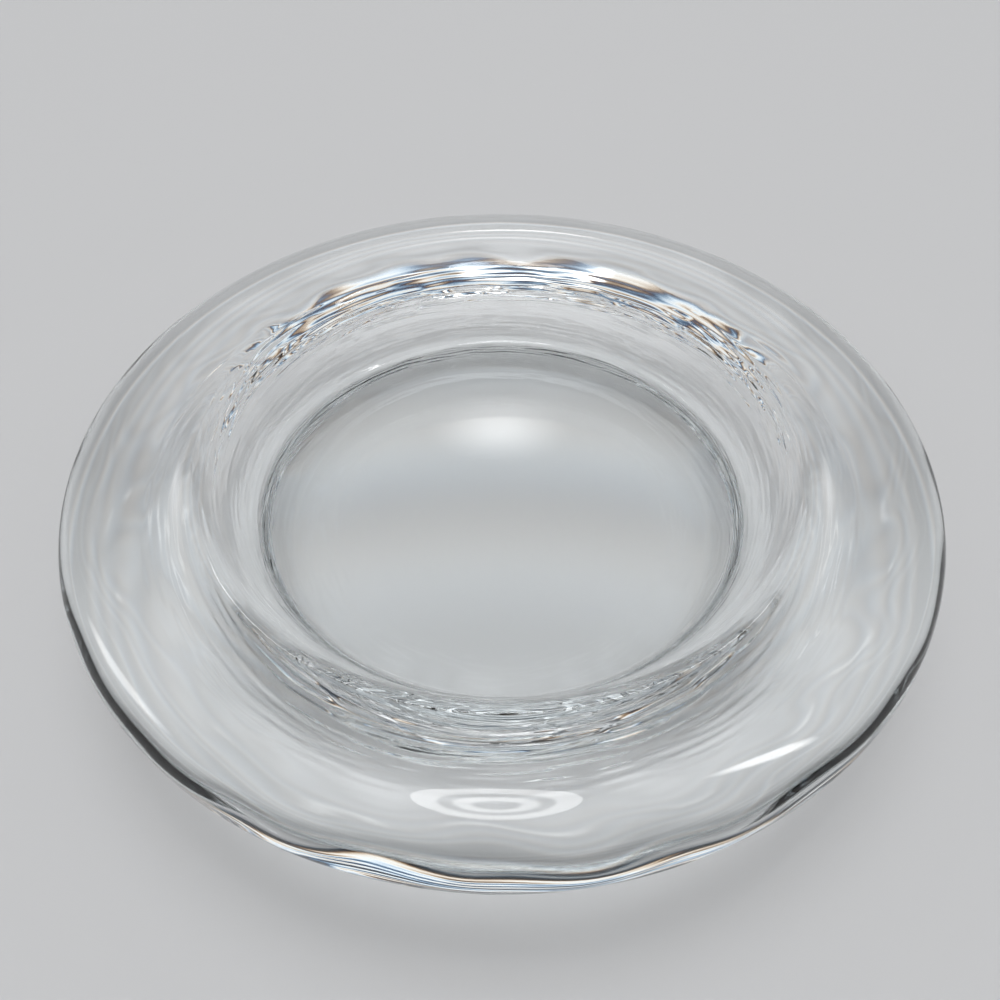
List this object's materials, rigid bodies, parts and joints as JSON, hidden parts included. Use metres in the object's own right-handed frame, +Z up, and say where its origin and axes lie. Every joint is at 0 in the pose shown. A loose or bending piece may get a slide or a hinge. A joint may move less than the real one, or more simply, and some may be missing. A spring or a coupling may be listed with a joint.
{
  "type": "floating candle bowl",
  "caption": "Thick clear glass bowl with a wide domed rim that overhangs a heavy flat-bottomed body, and a shallow flared round well for water and floating candles.",
  "frame": {"origin": "Centre of the flat base, on the surface the bowl stands on.", "axes": "+Z points up along the bowl's axis. The bowl is round, so X and Y are free; the picture looks along +Y and down."},
  "size_m": [0.22, 0.22, 0.0466],
  "materials": {
    "clear_glass": "polished"
  },
  "bodies": {
    "root": {"glass_bowl": "clear_glass"}
  },
  "joints": []
}
